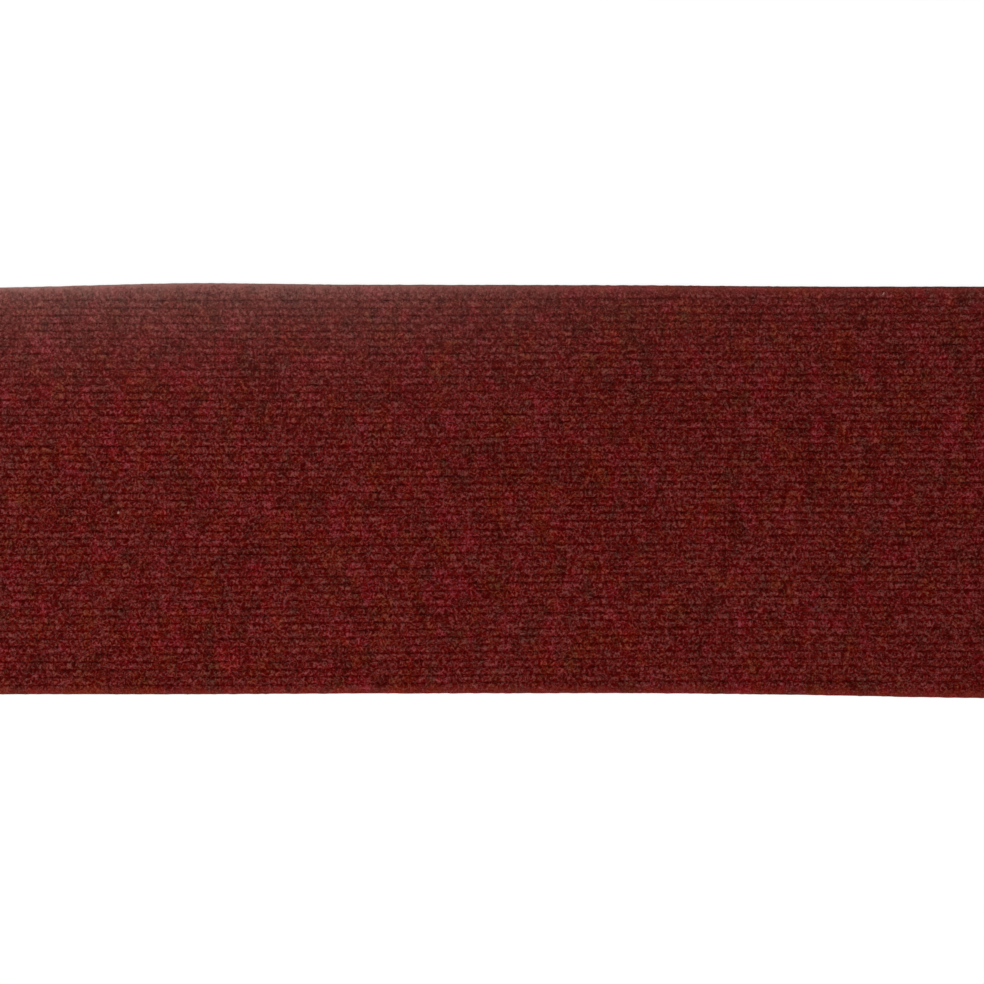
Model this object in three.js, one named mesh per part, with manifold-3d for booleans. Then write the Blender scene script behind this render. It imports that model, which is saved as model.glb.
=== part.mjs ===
// Anti-slip stair tread mat: a strip of ribbed needle felt with its grip coat bonded on underneath.
// Millimetres, +Z up. X runs along the step and along the ribs, Y runs across the step.
// The origin is under the middle of the mat, on the face that lies on the step.
import * as THREE from "three";
import { mergeVertices } from "three/addons/utils/BufferGeometryUtils.js";
import Module from "manifold-3d";

// Driving dimensions of the tread
const treadLength = 762; // along the step, from one cut end to the other
const treadDepth = 203; // across the step, between the lines that the long cuts were meant to follow
const baseThickness = 3.1; // felt and grip coat under the grooves
const ribHeight = 1.4; // from the floor of a groove to the crown of a rib
const ribPitch = 3.8; // from one groove to the next
const grooveWidth = 0.7; // floor between two ribs
const grooveShift = -0.83; // from the middle of the tread to the groove nearest to it
const ribTurn = 0.2; // degrees between the ribs and the line of the long cuts
const edgeRollWidth = 2.4; // how far in the felt is pressed down along a cut
const edgeRollDrop = 1.9; // how far it is pressed down at the cut itself

// How far each long cut strays outwards from its line, at even stations from the -X end to the +X end
const farDrift = [-1.9, -2.1, -1.1, 0.75, 0.1, -0.1, -0.3, -0.85, -0.9, -0.8, -0.6];
const nearDrift = [-0.2, 0, 0.1, 0.1, -0.25, -0.4, -0.4, 0.4, 1.8, 2.4, 2.2];

// Fineness of the curved faces
const ribArcSteps = 3; // per quarter of a rib's crown
const driftSteps = 3; // between two stations of a long cut
const edgeRollSteps = 3; // down the rolled edge

// The trimming tool clears the crowns by this much above, and runs on by this much below the mat
const trimClearance = 0.3;
const trimBelow = 5;

const feltColour = 0x571b18;
const feltRoughness = 0.96;

const crownHeight = baseThickness + ribHeight;
const ribTurnRad = THREE.MathUtils.degToRad(ribTurn);

// The felt web is larger than the tread, so that every cut runs through ribs
const widestDrift = Math.max(...farDrift.map(Math.abs), ...nearDrift.map(Math.abs));
const webDepth = treadDepth + 2 * (widestDrift + ribPitch) + treadLength * Math.abs(Math.sin(ribTurnRad));
const webLength = treadLength + 2 * ribPitch + webDepth * Math.abs(Math.sin(ribTurnRad));
const ribsEachSide = Math.ceil(webDepth / 2 / ribPitch);

const wasm = await Module();
wasm.setup();

// A closed three.js geometry as a solid that can be cut
function solidOf(geometry) {
  const bare = geometry.clone();
  bare.deleteAttribute("normal");
  bare.deleteAttribute("uv");
  const merged = mergeVertices(bare, 1e-4);
  return new wasm.Manifold(
    new wasm.Mesh({
      numProp: 3,
      vertProperties: new Float32Array(merged.attributes.position.array),
      triVerts: new Uint32Array(merged.index.array),
    }),
  );
}

// A cut solid back as a three.js geometry with flat faces
function geometryOf(solid) {
  const mesh = solid.getMesh();
  const indexed = new THREE.BufferGeometry();
  indexed.setAttribute("position", new THREE.BufferAttribute(mesh.vertProperties, 3));
  indexed.setIndex(new THREE.BufferAttribute(mesh.triVerts, 1));
  const flat = indexed.toNonIndexed();
  flat.computeVertexNormals();
  return flat;
}

// The web's section across the ribs: flat underneath, a half ellipse for the crown of each rib
function webSection() {
  const leftGroove = grooveShift - ribsEachSide * ribPitch;
  const rightGroove = grooveShift + ribsEachSide * ribPitch;
  const section = new THREE.Shape();
  section.moveTo(leftGroove, 0);
  section.lineTo(rightGroove, 0);
  section.lineTo(rightGroove, baseThickness);
  for (let rib = 2 * ribsEachSide - 1; rib >= 0; rib--) {
    const middle = leftGroove + (rib + 0.5) * ribPitch;
    section.absellipse(middle, baseThickness, (ribPitch - grooveWidth) / 2, ribHeight, 0, Math.PI, false, 0);
  }
  section.lineTo(leftGroove, baseThickness);
  return section;
}

// The ribbed web, drawn out along X and turned by the small angle between ribs and cuts
function ribbedWeb() {
  const web = new THREE.ExtrudeGeometry(webSection(), {
    depth: webLength,
    steps: 1,
    bevelEnabled: false,
    curveSegments: ribArcSteps,
  });
  web.translate(0, 0, -webLength / 2);
  const alongX = new THREE.Matrix4().makeBasis(
    new THREE.Vector3(0, 1, 0),
    new THREE.Vector3(0, 0, 1),
    new THREE.Vector3(1, 0, 0),
  );
  web.applyMatrix4(alongX);
  web.rotateZ(ribTurnRad);
  return web;
}

// Points of one long cut, from the -X end to the +X end; side is +1 for the far cut and -1 for the near one
function cutPoints(drift, side) {
  const spacing = treadLength / (drift.length - 1);
  return drift.map((out, i) => new THREE.Vector2(i * spacing - treadLength / 2, side * (treadDepth / 2 + out)));
}

// What the cuts leave of the web, seen from above
function cutOutline() {
  const near = cutPoints(nearDrift, -1);
  const far = cutPoints(farDrift, 1).reverse();
  const outline = new THREE.Shape();
  outline.moveTo(near[0].x, near[0].y);
  outline.splineThru(near.slice(1));
  outline.lineTo(far[0].x, far[0].y);
  outline.splineThru(far.slice(1));
  return outline;
}

// The trimmed space: the cut outline with its upper edge rolled over, open below the mat
function trimmedSpace() {
  const rollHeight = edgeRollDrop + trimClearance;
  const space = new THREE.ExtrudeGeometry(cutOutline(), {
    depth: trimBelow + crownHeight - edgeRollDrop,
    steps: 1,
    curveSegments: driftSteps,
    bevelEnabled: true,
    bevelSegments: edgeRollSteps,
    bevelSize: edgeRollWidth,
    bevelOffset: -edgeRollWidth,
    bevelThickness: rollHeight,
  });
  space.translate(0, 0, -trimBelow);
  return space;
}

// The finished mat, with the origin under the middle of its bounding box
function treadMatGeometry() {
  const mat = geometryOf(solidOf(ribbedWeb()).intersect(solidOf(trimmedSpace())));
  mat.computeBoundingBox();
  const middle = mat.boundingBox.getCenter(new THREE.Vector3());
  mat.translate(-middle.x, -middle.y, 0);
  return mat;
}

const felt = new THREE.MeshStandardMaterial({ color: feltColour, roughness: feltRoughness, metalness: 0 });
const treadMat = new THREE.Mesh(treadMatGeometry(), felt);
treadMat.name = "tread_mat";

const stairTreadMat = new THREE.Group();
stairTreadMat.add(treadMat);

export default stairTreadMat;
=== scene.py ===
# Stair tread mat of ribbed needle felt, lying flat on a white sweep and seen from straight above.
# Metres, in the frame of the solid model: X along the ribs, Y across them, Z up, underside at zero.
import math

import bpy
import mathutils
import numpy as np
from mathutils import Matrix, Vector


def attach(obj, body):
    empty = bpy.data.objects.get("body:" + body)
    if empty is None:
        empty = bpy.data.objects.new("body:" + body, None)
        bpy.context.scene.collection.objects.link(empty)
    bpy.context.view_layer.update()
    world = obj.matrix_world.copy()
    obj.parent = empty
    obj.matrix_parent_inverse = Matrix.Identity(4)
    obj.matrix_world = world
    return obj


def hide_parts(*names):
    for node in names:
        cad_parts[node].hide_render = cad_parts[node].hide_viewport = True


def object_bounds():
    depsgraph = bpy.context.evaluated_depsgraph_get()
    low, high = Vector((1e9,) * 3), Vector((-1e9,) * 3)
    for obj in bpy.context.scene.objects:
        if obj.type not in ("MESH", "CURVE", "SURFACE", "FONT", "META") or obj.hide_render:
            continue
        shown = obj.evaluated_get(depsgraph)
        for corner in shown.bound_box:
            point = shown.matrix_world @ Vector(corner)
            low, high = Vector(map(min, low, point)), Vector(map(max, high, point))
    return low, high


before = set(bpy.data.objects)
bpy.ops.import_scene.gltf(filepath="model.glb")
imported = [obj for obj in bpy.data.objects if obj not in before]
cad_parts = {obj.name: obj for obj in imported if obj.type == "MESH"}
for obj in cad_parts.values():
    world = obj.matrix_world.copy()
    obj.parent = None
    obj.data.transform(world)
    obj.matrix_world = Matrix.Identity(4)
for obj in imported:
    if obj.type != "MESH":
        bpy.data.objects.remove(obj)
cadLow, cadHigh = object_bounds()
print("solid model loaded,", [round(side * 1000, 1) for side in cadHigh - cadLow], "mm")

# The cut felt, with the same sizes as the solid
tread = {
    "halfLength": (cadHigh.x - cadLow.x) / 2,
    "depth": 0.203,  # between the lines that the long cuts were meant to follow
    "baseThickness": 0.0031,
    "ribHeight": 0.0014,
    "ribPitch": 0.0038,
    "grooveShift": -0.00083,  # from the middle of those lines to the nearest groove
    "ribTurn": math.radians(0.2),
    "rollWidth": 0.0024,  # the edge is pressed down this far in
    "rollDrop": 0.0019,
    # how far each long cut strays outwards, at even stations from the -X end
    "farDrift": [
        -0.0019, -0.0021, -0.0011, 0.00075, 0.0001, -0.0001,
        -0.0003, -0.00085, -0.0009, -0.0008, -0.0006,
    ],
    "nearDrift": [
        -0.0002, 0, 0.0001, 0.0001, -0.00025, -0.0004,
        -0.0004, 0.0004, 0.0018, 0.0024, 0.0022,
    ],
}

# What the needle loom and the handling did to the ribs
ribs = {
    "crownPower": 2.0,  # 2 is a round crown, more is flatter with steeper flanks
    "waveHeight": 0.00044,  # the ribs snake by this much
    "waveFade": 0.0015,  # and by this much less for each metre towards +Y
    "waveLength": 0.386,
    "waveSpread": 1.0,  # metres of wavelength lost for each metre towards +Y
    "waveCrest": 0.085,
    "waver": 0.00022,  # a groove's short wobbles
    "waverCell": (0.0044, 0.0030),
    "waverSeed": 11,
    "lump": 0.26,  # share of its height by which a rib swells and sinks
    "lumpCell": (0.0034, 0.0026),
    "lumpSeed": 21,
    "grain": 0.00010,
    "grainCell": (0.0021, 0.0011),
    "grainSeed": 22,
    "grainOnRoll": 0.5,  # share of the grain that the rolled edge keeps
    "closedWidth": 0.0058,  # a groove this near a cut is pressed partly shut
    "closedLeast": 0.22,  # share of its depth that stays open at the cut itself
}

feltMesh = {
    "rowsAcrossRib": (-0.5, -0.3, 0.0, 0.3),  # places of the rows in one rib, in pitches
    "rowsAtCut": 16,
    "rowsDrawn": 1.25,  # more than 1 draws these rows closer to the cut
    "columns": 388,
    "feltTone": 0.5,  # its fibres' own shade, half-way between the darkest and the palest strand
    "endColumns": (0.0, 0.0003, 0.0008, 0.0014, 0.0022),  # from each end, where the edge rolls over
    "evenColumns": 0.00336,  # from here on they are evenly spaced
    "waistHeight": 0.55,  # where the cut wall bulges, as a share of its height
    "wallBulge": 0.00012,
    "cutRagged": 0.00007,
    "raggedCell": (0.0017, 0.0017),
    "raggedSeed": 61,
    "pressedWidth": 0.0046,  # the felt is pressed flat, and painted lighter as a highlight, this far in from a cut
    "pressedFirm": 1.6,  # more than 1 keeps it fully flat for a part of that
}

# Painted sheen: a pale haze of light painted along the far cut, most of it towards -X
paintedSheenFall = {
    "onCut": 0.29,  # share that it covers at the cut itself
    "cutReach": 0.0020,
    "behindCut": 0.215,  # and on the ribs behind it
    "reach": 0.020,
    "everywhere": 0.12,  # of that, what lies along the whole cut
    "middle": 0.0,  # the X where the rest is half as strong as at the -X end
    "fade": 0.05,
    "lowest": 0.0014,  # the wall below this gets no painted sheen
    "rise": 0.001,
}

latticeSize = 512  # corners of the noise lattice each way, after which it repeats
latticeMiddle = 1000  # cells from the lattice's first corner to the middle of the mat
cutSamples = 800  # points at which the widest place of a cut is looked for
lineRounds = 4  # each round brings a traced line nearer to its place
touching = 1e-6  # a point this near a cut counts as lying on it


def valueNoise(x, y, cell, seed):
    # one random value at each corner of a lattice, blended smoothly between them, from -1 to 1
    table = np.random.default_rng(seed).uniform(-1, 1, (latticeSize, latticeSize))
    gridX = np.asarray(x) / cell[0] + latticeMiddle
    gridY = np.asarray(y) / cell[1] + latticeMiddle
    column = np.floor(gridX).astype(int)
    row = np.floor(gridY).astype(int)
    partX = gridX - column
    partY = gridY - row
    partX = partX * partX * (3 - 2 * partX)
    partY = partY * partY * (3 - 2 * partY)
    left = column % latticeSize
    right = (column + 1) % latticeSize
    near = row % latticeSize
    far = (row + 1) % latticeSize
    nearEnd = table[left, near] * (1 - partX) + table[right, near] * partX
    farEnd = table[left, far] * (1 - partX) + table[right, far] * partX
    return nearEnd * (1 - partY) + farEnd * partY


def driftAt(x, drift):
    # a smooth line through the stations of a long cut
    values = np.array(drift)
    place = (np.asarray(x) / tread["halfLength"] + 1) / 2 * (len(values) - 1)
    station = np.clip(np.floor(place).astype(int), 0, len(values) - 2)
    part = np.clip(place - station, 0, 1)
    before = values[np.maximum(station - 1, 0)]
    start = values[station]
    end = values[station + 1]
    after = values[np.minimum(station + 2, len(values) - 1)]
    startSlope = (end - before) / 2
    endSlope = (after - start) / 2
    return (
        (2 * start - 2 * end + startSlope + endSlope) * part**3
        + (-3 * start + 3 * end - 2 * startSlope - endSlope) * part**2
        + startSlope * part
        + start
    )


# The origin is under the middle of the solid's box. The drift of the cuts moves that off the middle
# of their lines.
stations = np.linspace(-tread["halfLength"], tread["halfLength"], cutSamples)
nearReach = driftAt(stations, tread["nearDrift"]).max()
farReach = driftAt(stations, tread["farDrift"]).max()
middleY = (nearReach - farReach) / 2


def farCut(x):
    return middleY + tread["depth"] / 2 + driftAt(x, tread["farDrift"])


def nearCut(x):
    return middleY - tread["depth"] / 2 - driftAt(x, tread["nearDrift"])


def edgeGap(x, y):
    # how far a point lies inside the nearest cut
    return np.minimum(np.minimum(farCut(x) - y, y - nearCut(x)), tread["halfLength"] - np.abs(x))


def grooveLine(x, y):
    # how far the groove that passes here has strayed from its place at the middle of the mat
    wavelength = ribs["waveLength"] - ribs["waveSpread"] * y
    height = ribs["waveHeight"] - ribs["waveFade"] * y
    wave = height * np.cos(2 * math.pi * (x - ribs["waveCrest"]) / wavelength)
    waver = ribs["waver"] * valueNoise(x, y, ribs["waverCell"], ribs["waverSeed"])
    return middleY + tread["grooveShift"] + math.tan(tread["ribTurn"]) * x + wave + waver


def ribPhase(x, y):
    return (y - grooveLine(x, y)) / tread["ribPitch"]


def lineOfPhase(phase, x):
    # the Y at which a rib has this phase
    y = phase * tread["ribPitch"] + np.zeros_like(x)
    for _ in range(lineRounds):
        y = phase * tread["ribPitch"] + grooveLine(x, y)
    return y


def openShare(x, y):
    # how much of a groove's depth the pressing along a cut has left open
    return np.clip(edgeGap(x, y) / ribs["closedWidth"], ribs["closedLeast"], 1)


def crownShare(x, y):
    # 0 in an open groove and 1 on top of a rib
    across = np.abs(2 * (ribPhase(x, y) % 1) - 1)
    crown = np.sqrt(np.clip(1 - across ** ribs["crownPower"], 0, 1))
    return 1 - (1 - crown) * openShare(x, y)


def topHeight(x, y):
    # height of the felt's face: ribs, their lumps, and the roll along the cuts
    crown = crownShare(x, y)
    swell = 1 - ribs["lump"] * (0.5 + 0.5 * valueNoise(x, y, ribs["lumpCell"], ribs["lumpSeed"]))
    grain = ribs["grain"] * valueNoise(x, y, ribs["grainCell"], ribs["grainSeed"])
    height = tread["baseThickness"] + tread["ribHeight"] * crown * swell + grain
    inward = np.clip(edgeGap(x, y) / tread["rollWidth"], 0, 1)
    roll = tread["rollDrop"] * (1 - np.sqrt(1 - (1 - inward) ** 2))
    ceiling = tread["baseThickness"] + tread["ribHeight"] - roll
    return np.minimum(height, ceiling + ribs["grainOnRoll"] * grain)


def setAttribute(mesh, name, values):
    attribute = mesh.attributes.new(name, "FLOAT", "POINT")
    attribute.data.foreach_set("value", np.asarray(values, np.float32))


# a map of the piece's faces spread out flat, named OFBake
def setLayout(mesh, places):
    # the export draws a piece's textures on this map
    layer = mesh.uv_layers.new(name="OFBake")
    layer.uv.foreach_set("vector", np.asarray(places, np.float32).ravel())


def setFibres(mesh, points, tone):
    # a fibre's own shade, where on a rib it lies, how far a cut pressed the felt flat and painted it
    # lighter, and painted sheen
    x = points[:, 0]
    y = points[:, 1]
    setAttribute(mesh, "fibreTone", tone)
    groove = 0.5 + 0.5 * np.cos(2 * math.pi * ribPhase(x, y))
    setAttribute(mesh, "crown", 1 - groove * openShare(x, y))
    firm = feltMesh["pressedFirm"]
    setAttribute(mesh, "pressedAndLit", np.clip(firm - firm * edgeGap(x, y) / feltMesh["pressedWidth"], 0, 1))
    # painted sheen of light along the far cut, strongest towards -X
    onTop = np.clip((points[:, 2] - paintedSheenFall["lowest"]) / paintedSheenFall["rise"], 0, 1)
    fromFar = np.maximum(farCut(x) - y, 0)
    towardsLeft = 1 / (1 + np.exp((x - paintedSheenFall["middle"]) / paintedSheenFall["fade"]))
    onCut = paintedSheenFall["onCut"] * np.exp(-fromFar / paintedSheenFall["cutReach"])
    behindCut = paintedSheenFall["behindCut"] * np.exp(-fromFar / paintedSheenFall["reach"])
    setAttribute(mesh, "paintedSheen", onTop * (paintedSheenFall["everywhere"] + towardsLeft) * (onCut + behindCut))


def meshFrom(name, points, corners, sizes):
    # corners is one long list of point numbers, and sizes says how many of them each face takes
    mesh = bpy.data.meshes.new(name)
    starts = np.concatenate([[0], np.cumsum(sizes)[:-1]])
    mesh.vertices.add(len(points))
    mesh.vertices.foreach_set("co", np.asarray(points, np.float32).ravel())
    mesh.loops.add(len(corners))
    mesh.loops.foreach_set("vertex_index", np.asarray(corners, np.int32))
    mesh.polygons.add(len(sizes))
    mesh.polygons.foreach_set("loop_start", starts.astype(np.int32))
    mesh.update(calc_edges=True)
    mesh.validate()
    piece = bpy.data.objects.new(name, mesh)
    bpy.context.scene.collection.objects.link(piece)
    return piece


def feltColumns():
    half = tread["halfLength"]
    ends = np.array(feltMesh["endColumns"])
    even = half - feltMesh["evenColumns"]
    middle = np.linspace(-even, even, feltMesh["columns"])
    return np.concatenate([-half + ends, middle, (half - ends)[::-1]])


def feltRows(x):
    # whole ribs follow their grooves; the cut ribs along each edge are spread evenly up to the cut
    lowest = math.ceil(ribPhase(x, nearCut(x)).max()) + 1
    highest = math.floor(ribPhase(x, farCut(x)).min()) - 1
    crowns = np.arange(lowest, highest) + 0.5
    phases = [crown + place for crown in crowns for place in feltMesh["rowsAcrossRib"]]
    inner = [lineOfPhase(phase, x) for phase in phases + [highest]]
    steps = np.linspace(0, 1, feltMesh["rowsAtCut"], endpoint=False) ** feltMesh["rowsDrawn"]
    near = [nearCut(x) + (inner[0] - nearCut(x)) * step for step in steps]
    far = [farCut(x) + (inner[-1] - farCut(x)) * step for step in steps[::-1]]
    return np.array(near + inner + far)


def gridFaces(rows, columns):
    corner = (np.arange(rows - 1)[:, None] * columns + np.arange(columns - 1)[None, :]).ravel()
    return np.stack([corner, corner + 1, corner + columns + 1, corner + columns], axis=1)


def rimOfGrid(rows, columns):
    # the grid's border, walked round against the clock as seen from above
    bottom = np.arange(columns)
    right = np.arange(1, rows) * columns + columns - 1
    top = (rows - 1) * columns + np.arange(columns - 2, -1, -1)
    left = np.arange(rows - 2, 0, -1) * columns
    return np.concatenate([bottom, right, top, left])


# Where the felt's faces lie once spread out flat, in shares of a square, and how large for each metre
feltLayout = {
    "margin": 0.004,
    "faceScale": 2.0,  # the ribbed face, cut in two at the middle and stacked
    "undersideScale": 1.07,  # the underside, turned on its side to the right of them
    "undersideAt": 0.775,
    "wallScale": 0.99,  # the walls, in two strips above
    "wallHeight": 15.0,
    "wallsAt": (0.85, 0.92),
}


def layOutFace(points, faces):
    # the ribbed face seen from above, its left half stacked on its right one
    half = tread["halfLength"]
    margin = feltLayout["margin"]
    near = points[:, 1].min()
    depth = np.ptp(points[:, 1])
    at = points[faces]
    left = at[..., 0].mean(axis=1, keepdims=True) < 0
    across = (at[..., 0] + half * left) * feltLayout["faceScale"] + margin
    up = (at[..., 1] - near + depth * left) * feltLayout["faceScale"] + margin * (1 + left)
    return np.stack([across, up], axis=-1).reshape(-1, 2)


def layOutWalls(points, rim, walls):
    # the walls unrolled, the first half of the way round in one strip and the second in another
    ring = points[rim]
    rings = len(walls) // len(rim)
    reach = np.cumsum(np.linalg.norm(np.roll(ring, -1, axis=0) - ring, axis=1)[:, None], axis=0)
    start = np.tile(np.roll(reach, 1, axis=0), (rings, 1))
    start[:: len(rim)] = 0
    end = np.tile(reach, (rings, 1))
    second = start > reach[-1] / 2
    across = np.hstack([start, end, end, start]) - second * reach[-1] / 2
    across = across * feltLayout["wallScale"] + feltLayout["margin"]
    up = np.where(second, feltLayout["wallsAt"][1], feltLayout["wallsAt"][0])
    up = up + points[walls][..., 2] * feltLayout["wallHeight"]
    return np.stack([across, up], axis=-1).reshape(-1, 2)


def layOutUnderside(points, underside):
    # turned on its side, to the right of the ribbed face
    first = np.array([points[:, 1].min(), -tread["halfLength"]])
    place = np.array([feltLayout["undersideAt"], feltLayout["margin"]])
    return (points[underside][:, [1, 0]] - first) * feltLayout["undersideScale"] + place


def outwardAt(points):
    # which way is outwards at each point of the rim
    x = points[:, 0]
    y = points[:, 1]
    onEnd = tread["halfLength"] - np.abs(x) < touching
    onCut = ~onEnd | (np.minimum(farCut(x) - y, y - nearCut(x)) < touching)
    return np.sign(points[:, :2]) * np.column_stack([onEnd, onCut])


def feltPoints(top, rim):
    # the ribbed face, then the waist of the cut wall round it, then its foot
    x = top[rim, 0]
    y = top[rim, 1]
    outward = outwardAt(top[rim])
    ragged = feltMesh["cutRagged"] * valueNoise(x, y, feltMesh["raggedCell"], feltMesh["raggedSeed"])
    top[rim, :2] += outward * ragged[:, None]
    waist = top[rim].copy()
    waist[:, :2] += outward * (feltMesh["wallBulge"] + ragged[:, None])
    waist[:, 2] *= feltMesh["waistHeight"]
    foot = top[rim].copy()
    foot[:, 2] = 0
    return np.concatenate([top, waist, foot])


def wallFaces(rim, firstWaist):
    # two rings of faces from the rim down to the foot, and the corners of the underside
    waist = firstWaist + np.arange(len(rim))
    foot = waist + len(rim)
    rings = [
        np.stack([lower, np.roll(lower, -1), np.roll(upper, -1), upper], axis=1)
        for lower, upper in ((waist, rim), (foot, waist))
    ]
    return np.concatenate(rings), foot[::-1]


def buildFelt():
    # one closed body: the ribbed face, its cut walls and the flat underside
    x = feltColumns()
    y = feltRows(x)
    gridX = np.broadcast_to(x, y.shape)
    top = np.stack([gridX, y, topHeight(gridX, y)], axis=-1).reshape(-1, 3)
    rim = rimOfGrid(*y.shape)
    points = feltPoints(top, rim)
    faces = gridFaces(*y.shape)
    walls, underside = wallFaces(rim, len(top))
    quads = np.concatenate([faces, walls])
    corners = np.concatenate([quads.ravel(), underside])
    sizes = np.concatenate([np.full(len(quads), 4), [len(rim)]])
    piece = meshFrom("ribbed_felt", points, corners, sizes)
    mesh = piece.data
    layout = [
        layOutFace(points, faces),
        layOutWalls(points, rim, walls),
        layOutUnderside(points, underside),
    ]
    setLayout(mesh, np.concatenate(layout))
    setFibres(mesh, points, np.full(len(points), feltMesh["feltTone"]))
    mesh.polygons.foreach_set("use_smooth", sizes == 4)
    mesh.polygons[len(sizes) - 1].material_index = 1
    return piece


# Fibre that the needles left standing on the ribs. Each family is one piece of many strands.
strandFamilies = {
    "long_curls": {
        "count": 16000,
        "length": (0.0024, 0.0038),
        "width": (0.00048, 0.00070),
        "bend": 0.0009,
        "lift": (0.00008, 0.00026),
        "turn": 1.0,  # spread of direction about the ribs, in radians
        "spread": 0.19,  # how far from a rib's crown it stands, in pitches
        "tone": (0.2, 1.0),
        "seed": 101,
    },
    "short_curls": {
        "count": 16500,
        "length": (0.0016, 0.0027),
        "width": (0.00044, 0.00068),
        "bend": 0.0006,
        "lift": (0.00006, 0.00024),
        "turn": 3.2,
        "spread": 0.22,
        "tone": (0.1, 1.0),
        "seed": 102,
    },
    "tufts": {
        "count": 16500,
        "length": (0.0010, 0.0018),
        "width": (0.00050, 0.00078),
        "bend": 0.0003,
        "lift": (0.00004, 0.00018),
        "turn": 3.2,
        "spread": 0.25,
        "tone": (0.0, 0.9),
        "seed": 103,
    },
    "bridging_fibres": {
        "count": 16500,
        "length": (0.0020, 0.0034),
        "width": (0.00036, 0.00052),
        "bend": 0.0005,
        "lift": (-0.00002, 0.00012),
        "turn": 3.2,
        "spread": 0.34,
        # darker than the other families, partly painted shade on fibres that lie down across the grooves
        "tone": (0.0, 0.7),
        "seed": 104,
    },
}

strandShape = {
    "places": (-1.0, -0.36, 0.36, 1.0),  # along a strand, from end to end
    "rootDepth": 0.00022,  # its ends lie this deep in the felt
    "cutClearance": 0.0006,
    "farthest": 0.6,  # from a rib's crown, in pitches
    "spareRibs": 2,  # strands are drawn this many ribs beyond half the depth
    "spare": 2,  # places drawn for each strand kept, because some lie too near a cut
    "sides": 3,
    "cellMargin": 0.06,
}


def strandCentres(family, count, rng):
    half = tread["halfLength"]
    outermost = int(tread["depth"] / 2 / tread["ribPitch"]) + strandShape["spareRibs"]
    x = rng.uniform(-half, half, count)
    rib = rng.integers(-outermost, outermost, count)
    farthest = strandShape["farthest"]
    off = np.clip(rng.normal(0, family["spread"], count), -farthest, farthest)
    return np.column_stack([x, lineOfPhase(rib + 0.5 + off, x)])


def strandPaths(family, centre, rng):
    # points along each strand as seen from above, with its sideways direction, kept clear of the cuts
    count = len(centre)
    angle = rng.normal(0, family["turn"], count)
    length = rng.uniform(*family["length"], count)
    bend = rng.normal(0, family["bend"], count)
    along = np.column_stack([np.cos(angle), np.sin(angle)])
    side = np.column_stack([-np.sin(angle), np.cos(angle)])
    path = []
    for place in strandShape["places"]:
        onwards = along * (length * place / 2)[:, None]
        sideways = side * (bend * (0.5 - place**2))[:, None]
        path.append(centre + onwards + sideways)
    path = np.stack(path, axis=1)
    clear = edgeGap(path[..., 0], path[..., 1]).min(axis=1) > strandShape["cutClearance"]
    return path[clear][: family["count"]], side[clear][: family["count"]]


def strandFaces():
    # one strand's faces, three to each of its sides, and their places in its cell of the flat layout
    sides = strandShape["sides"]
    tip = 2 * sides + 1
    corners = []
    places = []
    first, second = [(1 + place) / 2 for place in strandShape["places"][1:3]]
    for side in range(sides):
        a = 1 + side
        b = 1 + (side + 1) % sides
        low = side / sides + strandShape["cellMargin"]
        high = (side + 1) / sides - strandShape["cellMargin"]
        middle = (low + high) / 2
        corners += [0, b, a, a, b, b + sides, a + sides, tip, a + sides, b + sides]
        places += [(0, middle), (first, low), (first, high)]
        places += [(first, high), (first, low), (second, low), (second, high)]
        places += [(1, middle), (second, high), (second, low)]
    return np.array(corners), np.array(places), [3, 4, 3] * sides


def layOutStrands(count, places):
    # each strand has one cell of a square grid
    margin = strandShape["cellMargin"]
    across = math.ceil(math.sqrt(count))
    cell = np.arange(count)
    corner = np.column_stack([cell % across, cell // across])
    inside = np.column_stack([margin + (1 - 2 * margin) * places[:, 0], places[:, 1]])
    return (corner[:, None] + inside) / across


def buildStrands(name, family, centre, rng):
    # each strand is a bent tube with closed tips
    path, side = strandPaths(family, centre, rng)
    count = len(path)
    radius = rng.uniform(*family["width"], count) / 2
    lift = rng.uniform(*family["lift"], count)
    rise = np.where(np.abs(strandShape["places"]) < 1, lift[:, None], -strandShape["rootDepth"])
    path = np.concatenate([path, (topHeight(path[..., 0], path[..., 1]) + rise)[..., None]], axis=2)
    roll = rng.uniform(0, 2 * math.pi, count)
    points = [path[:, 0]]
    for ring in range(1, path.shape[1] - 1):
        for turn in range(strandShape["sides"]):
            facing = roll + turn * 2 * math.pi / strandShape["sides"]
            sideways = side * (radius * np.cos(facing))[:, None]
            points.append(path[:, ring] + np.column_stack([sideways, radius * np.sin(facing)]))
    points.append(path[:, -1])
    pointsEach = len(points)
    points = np.stack(points, axis=1).reshape(-1, 3)
    pattern, places, sizes = strandFaces()
    corners = (np.arange(count)[:, None] * pointsEach + pattern).ravel()
    sizes = np.tile(sizes, count)
    piece = meshFrom(name, points, corners, sizes)
    setLayout(piece.data, layOutStrands(count, places))
    setFibres(piece.data, points, np.repeat(rng.uniform(*family["tone"], count), pointsEach))
    piece.data.polygons.foreach_set("use_smooth", np.ones(len(sizes), bool))
    print(name, "laid,", count, "strands")
    return piece


# Two specks of pale lint caught on the ribs, each a few short fibres
lint = {
    "specks": ((-0.1849, -0.0106), (0.1943, 0.0978)),  # X and Y of each
    "scatter": 0.00032,
    "count": 14,  # fibres in all
    "seed": 7,
    "length": (0.0008, 0.0017),
    "width": (0.00026, 0.00040),
    "bend": 0.0004,
    "lift": (0.00025, 0.00045),
    "turn": 3.2,
    "tone": (0.0, 1.0),
    "colour": (0.50, 0.27, 0.24),
    "shadow": (0.32, 0.15, 0.13),
    "grainScale": 2600.0,
    "roughness": 0.85,
}


def lintCentres(rng):
    # shared out evenly between the specks
    places = np.repeat(np.array(lint["specks"]), lint["count"] // len(lint["specks"]), axis=0)
    return places + rng.normal(0, lint["scatter"], places.shape)


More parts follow.
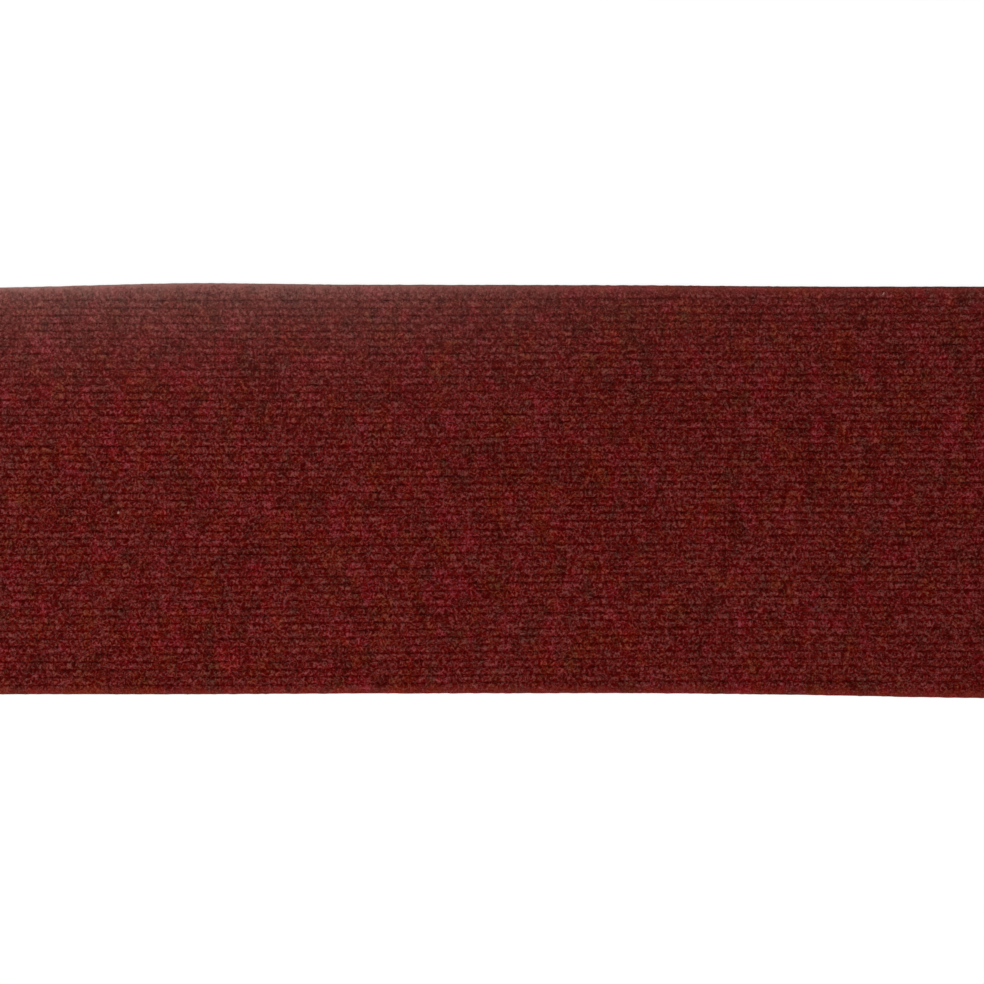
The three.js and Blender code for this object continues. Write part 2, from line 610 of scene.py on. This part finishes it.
def newMaterial(name):
    material = bpy.data.materials.new(name)
    material.use_nodes = True
    tree = material.node_tree
    tree.nodes.clear()
    output = tree.nodes.new("ShaderNodeOutputMaterial")
    return material, tree, output


def addNode(tree, kind, values=None, **settings):
    node = tree.nodes.new(kind)
    for key, value in settings.items():
        setattr(node, key, value)
    for key, value in (values or {}).items():
        if isinstance(value, bpy.types.NodeSocket):
            tree.links.new(value, node.inputs[key])
        else:
            node.inputs[key].default_value = value
    return node


def mixColour(tree, share, first, second, blend="MIX"):
    node = addNode(tree, "ShaderNodeMix", data_type="RGBA", blend_type=blend)
    for socket, value in ((node.inputs[0], share), (node.inputs[6], first), (node.inputs[7], second)):
        if isinstance(value, bpy.types.NodeSocket):
            tree.links.new(value, socket)
        else:
            socket.default_value = value if isinstance(value, float) else (*value, 1)
    return node.outputs[2]


def remap(tree, value, low, high, fromLow=0.0, fromHigh=1.0):
    node = addNode(
        tree,
        "ShaderNodeMapRange",
        {"Value": value, "From Min": fromLow, "From Max": fromHigh, "To Min": low, "To Max": high},
    )
    return node.outputs[0]


def ramp(tree, value, stops):
    node = addNode(tree, "ShaderNodeValToRGB", {"Fac": value})
    while len(node.color_ramp.elements) < len(stops):
        node.color_ramp.elements.new(0.5)
    for element, (place, colour) in zip(node.color_ramp.elements, stops):
        element.position = place
        element.color = (*colour, 1)
    return node.outputs[0]


def noise(tree, place, scale, detail=2.0, roughness=0.5, distortion=0.0, shift=None):
    if shift:
        place = addNode(tree, "ShaderNodeVectorMath", {0: place, 1: shift}, operation="ADD").outputs[0]
    node = addNode(
        tree,
        "ShaderNodeTexNoise",
        {
            "Vector": place,
            "Scale": scale,
            "Detail": detail,
            "Roughness": roughness,
            "Distortion": distortion,
        },
    )
    return node.outputs[0]


def calculate(tree, operation, *values):
    node = addNode(tree, "ShaderNodeMath", dict(enumerate(values)), operation=operation)
    return node.outputs[0]


def weighed(tree, shade, layer, weight, middle=0.5):
    # adds a layer to the shade, as far as it lies off its middle
    return calculate(tree, "MULTIPLY_ADD", calculate(tree, "SUBTRACT", layer, middle), weight, shade)


def bumpFrom(tree, height, strength, distance):
    values = {"Height": height, "Strength": strength, "Distance": distance}
    return addNode(tree, "ShaderNodeBump", values).outputs[0]


def giveShader(tree, output, values):
    shader = addNode(tree, "ShaderNodeBsdfPrincipled", values)
    tree.links.new(shader.outputs[0], output.inputs[0])


def attribute(tree, name):
    return addNode(tree, "ShaderNodeAttribute", attribute_name=name).outputs["Fac"]


def stretched(tree, place, stretch):
    return addNode(tree, "ShaderNodeVectorMath", {0: place, 1: stretch}, operation="MULTIPLY").outputs[0]


# Colours are linear light. A strand's shade runs from deep wine to pale, dusty pink; the pale end is partly
# the fibres' own colour and partly painted sheen.
feltFinish = {
    "shades": [
        (0.0, (0.058, 0.0001, 0.0001)),
        (0.25, (0.084, 0.0013, 0.0006)),
        (0.5, (0.111, 0.0068, 0.0045)),
        (0.75, (0.138, 0.0162, 0.0135)),
        (1.0, (0.203, 0.0472, 0.0432)),
    ],
    "middleShade": 0.5,
    "stretch": (1.04, 0.90, 1.0),  # the needles draw the fibres a little across the ribs
    "curlScale": 480.0,
    "curlWidth": 0.13,
    "curlMiddle": 0.45,  # what the curls come to on average
    "curlWeight": 0.68,
    "curlHeight": 0.6,
    "grainScale": 780.0,
    "grainWeight": 1.48,
    "wideShift": (11.3, 0, 0),
    "tuftScale": 270.0,
    "tuftWeight": 0.5,
    "pitScale": 300.0,  # painted shade in pits along the grooves, between one tuft and the next
    "pitStretch": (0.6, 1.2, 1.0),
    "pitShift": (0, 0, 17.9),
    "pitFrom": 0.38,
    "pitTo": 0.62,
    "pitMiddle": 0.2,
    "pitShadeWeight": 0.34,
    "grooveShadeBase": 0.22,  # painted shade of a groove between its pits
    "grooveSharpness": 3.5,
    "cloudScale": 42.0,
    "cloudWeight": 0.22,
    "strandWeight": 0.52,
    # painted shade: the grooves a little darker than the crowns
    "crownWeight": 0.02,
    # the pressed felt along the cuts is lighter than the middle shade, partly a painted highlight on the
    # rolled edges
    "pressedAndLitShade": 0.63,
    "pressedShare": 0.78,
    "pressedGrain": 1.9,  # pressed felt shows short fibre ends in place of curls
    "pressedGrainScale": 1500.0,
    # painted highlight: the felt along the cuts made lighter
    "cutHighlightTint": (1.17, 1.26, 1.22),
    # colour of the painted sheen along the far cut
    "paintedSheen": (0.36, 0.215, 0.19),
    "sheenOnTips": 0.4,  # how much more of the painted sheen lies on pale fibre tips than between them
    "patchStretch": (1.18, 0.82, 1.0),
    "rust": {"tint": (1.02, 1.04, 0.61), "scale": 90.0, "from": 0.49, "to": 0.70, "shift": (3.1, 0, 0)},
    "crimson": {"tint": (1.29, 0.95, 1.38), "scale": 98.0, "from": 0.53, "to": 0.72, "shift": (0, 5.3, 0)},
    "charcoal": {"tint": (0.75, 0.97, 0.85), "scale": 94.0, "from": 0.52, "to": 0.70, "shift": (0, 0, 7.7)},
    "bumpHeight": 0.00022,
    "bumpStrength": 1.0,
    "roughness": 0.90,
    "sheen": 0.02,
    "sheenRoughness": 0.5,
    "specular": 0.02,
}


def paintedGrooveShade(tree, place, crown, finish):
    # painted shade in the grooves: a thin line, darker where there is a pit in it
    along = stretched(tree, place, finish["pitStretch"])
    pits = noise(tree, along, finish["pitScale"], detail=1.0, distortion=0.4, shift=finish["pitShift"])
    pits = remap(tree, pits, 0.0, 1.0, finish["pitFrom"], finish["pitTo"])
    groove = calculate(tree, "POWER", calculate(tree, "SUBTRACT", 1.0, crown), finish["grooveSharpness"])
    return calculate(tree, "MULTIPLY", calculate(tree, "ADD", pits, finish["grooveShadeBase"]), groove)


def fibreShade(tree, place, finish):
    # shade of the fibres from 0, dark, to 1, pale, with painted shade in the grooves and pits, and the
    # height of their curls
    fibres = stretched(tree, place, finish["stretch"])
    crown = attribute(tree, "crown")
    # curls are the thin lines where a cloudy noise passes its middle; their paleness is partly painted
    # sheen on the raised fibres
    cloud = noise(tree, fibres, finish["curlScale"], detail=1.0, distortion=0.6)
    offMiddle = calculate(tree, "ABSOLUTE", calculate(tree, "SUBTRACT", cloud, 0.5))
    curls = remap(tree, offMiddle, 1.0, 0.0, 0.0, finish["curlWidth"])
    grain = noise(tree, fibres, finish["grainScale"], detail=1.0, distortion=0.3)
    shade = weighed(tree, finish["middleShade"], curls, finish["curlWeight"], finish["curlMiddle"])
    shade = weighed(tree, shade, grain, finish["grainWeight"])
    shade = weighed(tree, shade, attribute(tree, "fibreTone"), finish["strandWeight"])
    # painted shade: grooves darker than crowns
    shade = weighed(tree, shade, crown, finish["crownWeight"])
    for key in ("tuft", "cloud"):
        scale = finish[key + "Scale"]
        wide = noise(tree, fibres, scale, roughness=0.6, distortion=0.3, shift=finish["wideShift"])
        shade = weighed(tree, shade, wide, finish[key + "Weight"])
    # painted shade in the grooves and their pits
    depth = paintedGrooveShade(tree, place, crown, finish)
    shade = weighed(tree, shade, depth, -finish["pitShadeWeight"], finish["pitMiddle"])
    height = calculate(tree, "MULTIPLY_ADD", curls, finish["curlHeight"], grain)
    return shade, height


def feltColour(tree, place, shade, finish):
    # the fibres' colours, tinted in patches, pressed and painted lighter along the cuts, with painted sheen
    # on top
    pressedAndLit = attribute(tree, "pressedAndLit")
    flat = calculate(tree, "MULTIPLY", pressedAndLit, finish["pressedShare"])
    ends = noise(tree, place, finish["pressedGrainScale"], roughness=0.6, distortion=0.2)
    ends = weighed(tree, finish["pressedAndLitShade"], ends, finish["pressedGrain"])
    away = calculate(tree, "SUBTRACT", ends, shade)
    shade = calculate(tree, "MULTIPLY_ADD", away, flat, shade)
    colour = ramp(tree, shade, finish["shades"])
    drawn = stretched(tree, place, finish["patchStretch"])
    for key in ("rust", "crimson", "charcoal"):
        patch = finish[key]
        share = noise(tree, drawn, patch["scale"], detail=1.0, distortion=0.2, shift=patch["shift"])
        share = remap(tree, share, 0.0, 1.0, patch["from"], patch["to"])
        colour = mixColour(tree, share, colour, patch["tint"], "MULTIPLY")
    # painted highlight along the cuts
    colour = mixColour(tree, pressedAndLit, colour, finish["cutHighlightTint"], "MULTIPLY")
    # painted sheen, stronger on the pale fibre tips
    onTips = weighed(tree, 1.0, shade, finish["sheenOnTips"])
    paintedSheen = calculate(tree, "MULTIPLY", attribute(tree, "paintedSheen"), onTips)
    return mixColour(tree, paintedSheen, colour, finish["paintedSheen"])


def feltMaterial(name, finish):
    material, tree, output = newMaterial(name)
    place = addNode(tree, "ShaderNodeTexCoord").outputs["Object"]
    shade, height = fibreShade(tree, place, finish)
    values = {
        "Base Color": feltColour(tree, place, shade, finish),
        "Roughness": finish["roughness"],
        "Sheen Weight": finish["sheen"],
        "Sheen Roughness": finish["sheenRoughness"],
        "Specular IOR Level": finish["specular"],
        "Normal": bumpFrom(tree, height, finish["bumpStrength"], finish["bumpHeight"]),
    }
    giveShader(tree, output, values)
    return material


def lintMaterial():
    material, tree, output = newMaterial("pale_lint")
    place = addNode(tree, "ShaderNodeTexCoord").outputs["Object"]
    grain = noise(tree, place, lint["grainScale"])
    colour = mixColour(tree, grain, lint["colour"], lint["shadow"])
    giveShader(tree, output, {"Base Color": colour, "Roughness": lint["roughness"]})
    return material


# The coat on the underside
gripFinish = {
    "dark": (0.012, 0.012, 0.013),
    "pale": (0.030, 0.029, 0.028),
    "pebbleScale": 620.0,
    "patchScale": 38.0,
    "bumpHeight": 0.00025,
    "bumpStrength": 0.6,
    "roughness": (0.55, 0.78),
}


def gripMaterial():
    material, tree, output = newMaterial("grip_coat")
    place = addNode(tree, "ShaderNodeTexCoord").outputs["Object"]
    pebble = addNode(tree, "ShaderNodeTexVoronoi", {"Vector": place, "Scale": gripFinish["pebbleScale"]})
    patches = noise(tree, place, gripFinish["patchScale"], detail=4.0)
    values = {
        "Base Color": mixColour(tree, patches, gripFinish["dark"], gripFinish["pale"]),
        "Roughness": remap(tree, patches, *gripFinish["roughness"]),
        "Normal": bumpFrom(tree, pebble.outputs[0], gripFinish["bumpStrength"], gripFinish["bumpHeight"]),
    }
    giveShader(tree, output, values)
    return material


def cameraSees(tree):
    # 1 for rays that come from the lens, a mirror or glass
    rays = addNode(tree, "ShaderNodeLightPath").outputs
    seen = calculate(tree, "MAXIMUM", rays["Is Camera Ray"], rays["Is Glossy Ray"])
    return calculate(tree, "MAXIMUM", seen, rays["Is Transmission Ray"])


studio = {
    "floorSize": 6.0,
    "floorDrop": 0.00005,
    "floorColour": (0.80, 0.80, 0.80),
    "floorGlow": 0.90,  # share of the floor's white that shadows don't touch
    "floorWhite": 1.04,
    "fill": 0.34,  # world light on the mat
    "white": (1, 1, 1, 1),
    "keyPlace": (-0.48, -0.52, 1.55),
    "keyAim": (0, 0, 0),
    "keySize": 1.1,
    "keyPower": 23.8,
    "rakePlace": (-0.36, 0.36, 0.10),  # a weak lamp low over the far cut
    "rakeAim": (-0.20, 0.10, 0.0),
    "rakeSize": 0.16,
    "rakePower": 0.52,
}


def mixShaders(tree, output, share, first, second):
    mix = addNode(tree, "ShaderNodeMixShader", {0: share, 1: first.outputs[0], 2: second.outputs[0]})
    tree.links.new(mix.outputs[0], output.inputs[0])


def buildFloor():
    size = studio["floorSize"] / 2
    points = [(-size, -size, 0), (size, -size, 0), (size, size, 0), (-size, size, 0)]
    floor = meshFrom("sweep", points, [0, 1, 2, 3], np.array([4]))
    floor.location.z = -studio["floorDrop"]
    material, tree, output = newMaterial("white_sweep")
    diffuse = addNode(tree, "ShaderNodeBsdfDiffuse", {"Color": (*studio["floorColour"], 1)})
    glow = addNode(tree, "ShaderNodeEmission", {"Color": studio["white"], "Strength": studio["floorWhite"]})
    share = calculate(tree, "MULTIPLY", cameraSees(tree), studio["floorGlow"])
    mixShaders(tree, output, share, diffuse, glow)
    floor.data.materials.append(material)


def buildWorld():
    world = bpy.data.worlds.new("studio")
    bpy.context.scene.world = world
    world.use_nodes = True
    tree = world.node_tree
    tree.nodes.clear()
    output = tree.nodes.new("ShaderNodeOutputWorld")
    fill = addNode(tree, "ShaderNodeBackground", {"Color": studio["white"], "Strength": studio["fill"]})
    white = addNode(tree, "ShaderNodeBackground", {"Color": studio["white"], "Strength": 1.0})
    mixShaders(tree, output, cameraSees(tree), fill, white)


def softbox(name, place, aim, size, power):
    light = bpy.data.lights.new(name, "AREA")
    light.shape = "SQUARE"
    light.size = size
    light.energy = power
    lamp = bpy.data.objects.new(name, light)
    bpy.context.scene.collection.objects.link(lamp)
    lamp.location = place
    direction = mathutils.Vector(aim) - mathutils.Vector(place)
    lamp.rotation_euler = direction.to_track_quat("-Z", "Y").to_euler()


# The photograph is 984 pixels square and looks straight down
lens = {
    "pixels": 984,
    "metresPerPixel": 0.000495,
    "focal": 85.0,
    "sensor": 36.0,
    "aimY": -0.00047,  # the mat lies a little above the middle of the picture
}


def buildCamera():
    data = bpy.data.cameras.new("overhead")
    data.lens = lens["focal"]
    data.sensor_width = lens["sensor"]
    camera = bpy.data.objects.new("overhead", data)
    bpy.context.scene.collection.objects.link(camera)
    width = lens["pixels"] * lens["metresPerPixel"]
    distance = width * lens["focal"] / lens["sensor"]
    camera.location = (0, lens["aimY"], distance + tread["baseThickness"] + tread["ribHeight"])
    bpy.context.scene.camera = camera


bpy.context.scene.view_settings.view_transform = "Standard"
buildCamera()
buildWorld()
buildFloor()
softbox("key", studio["keyPlace"], studio["keyAim"], studio["keySize"], studio["keyPower"])
softbox("rake", studio["rakePlace"], studio["rakeAim"], studio["rakeSize"], studio["rakePower"])
print("studio ready")

felt = buildFelt()
felt.data.materials.append(feltMaterial("ribbed_felt", feltFinish))
felt.data.materials.append(gripMaterial())
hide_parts("tread_mat")
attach(felt, "root")
print("felt built,", len(felt.data.polygons), "faces")

strandMaterial = feltMaterial("fibre_strands", feltFinish)
for familyName, family in strandFamilies.items():
    rng = np.random.default_rng(family["seed"])
    centres = strandCentres(family, family["count"] * strandShape["spare"], rng)
    strands = buildStrands(familyName, family, centres, rng)
    strands.data.materials.append(strandMaterial)
    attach(strands, "root")

rng = np.random.default_rng(lint["seed"])
specks = buildStrands("lint_specks", lint, lintCentres(rng), rng)
specks.data.materials.append(lintMaterial())
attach(specks, "root")
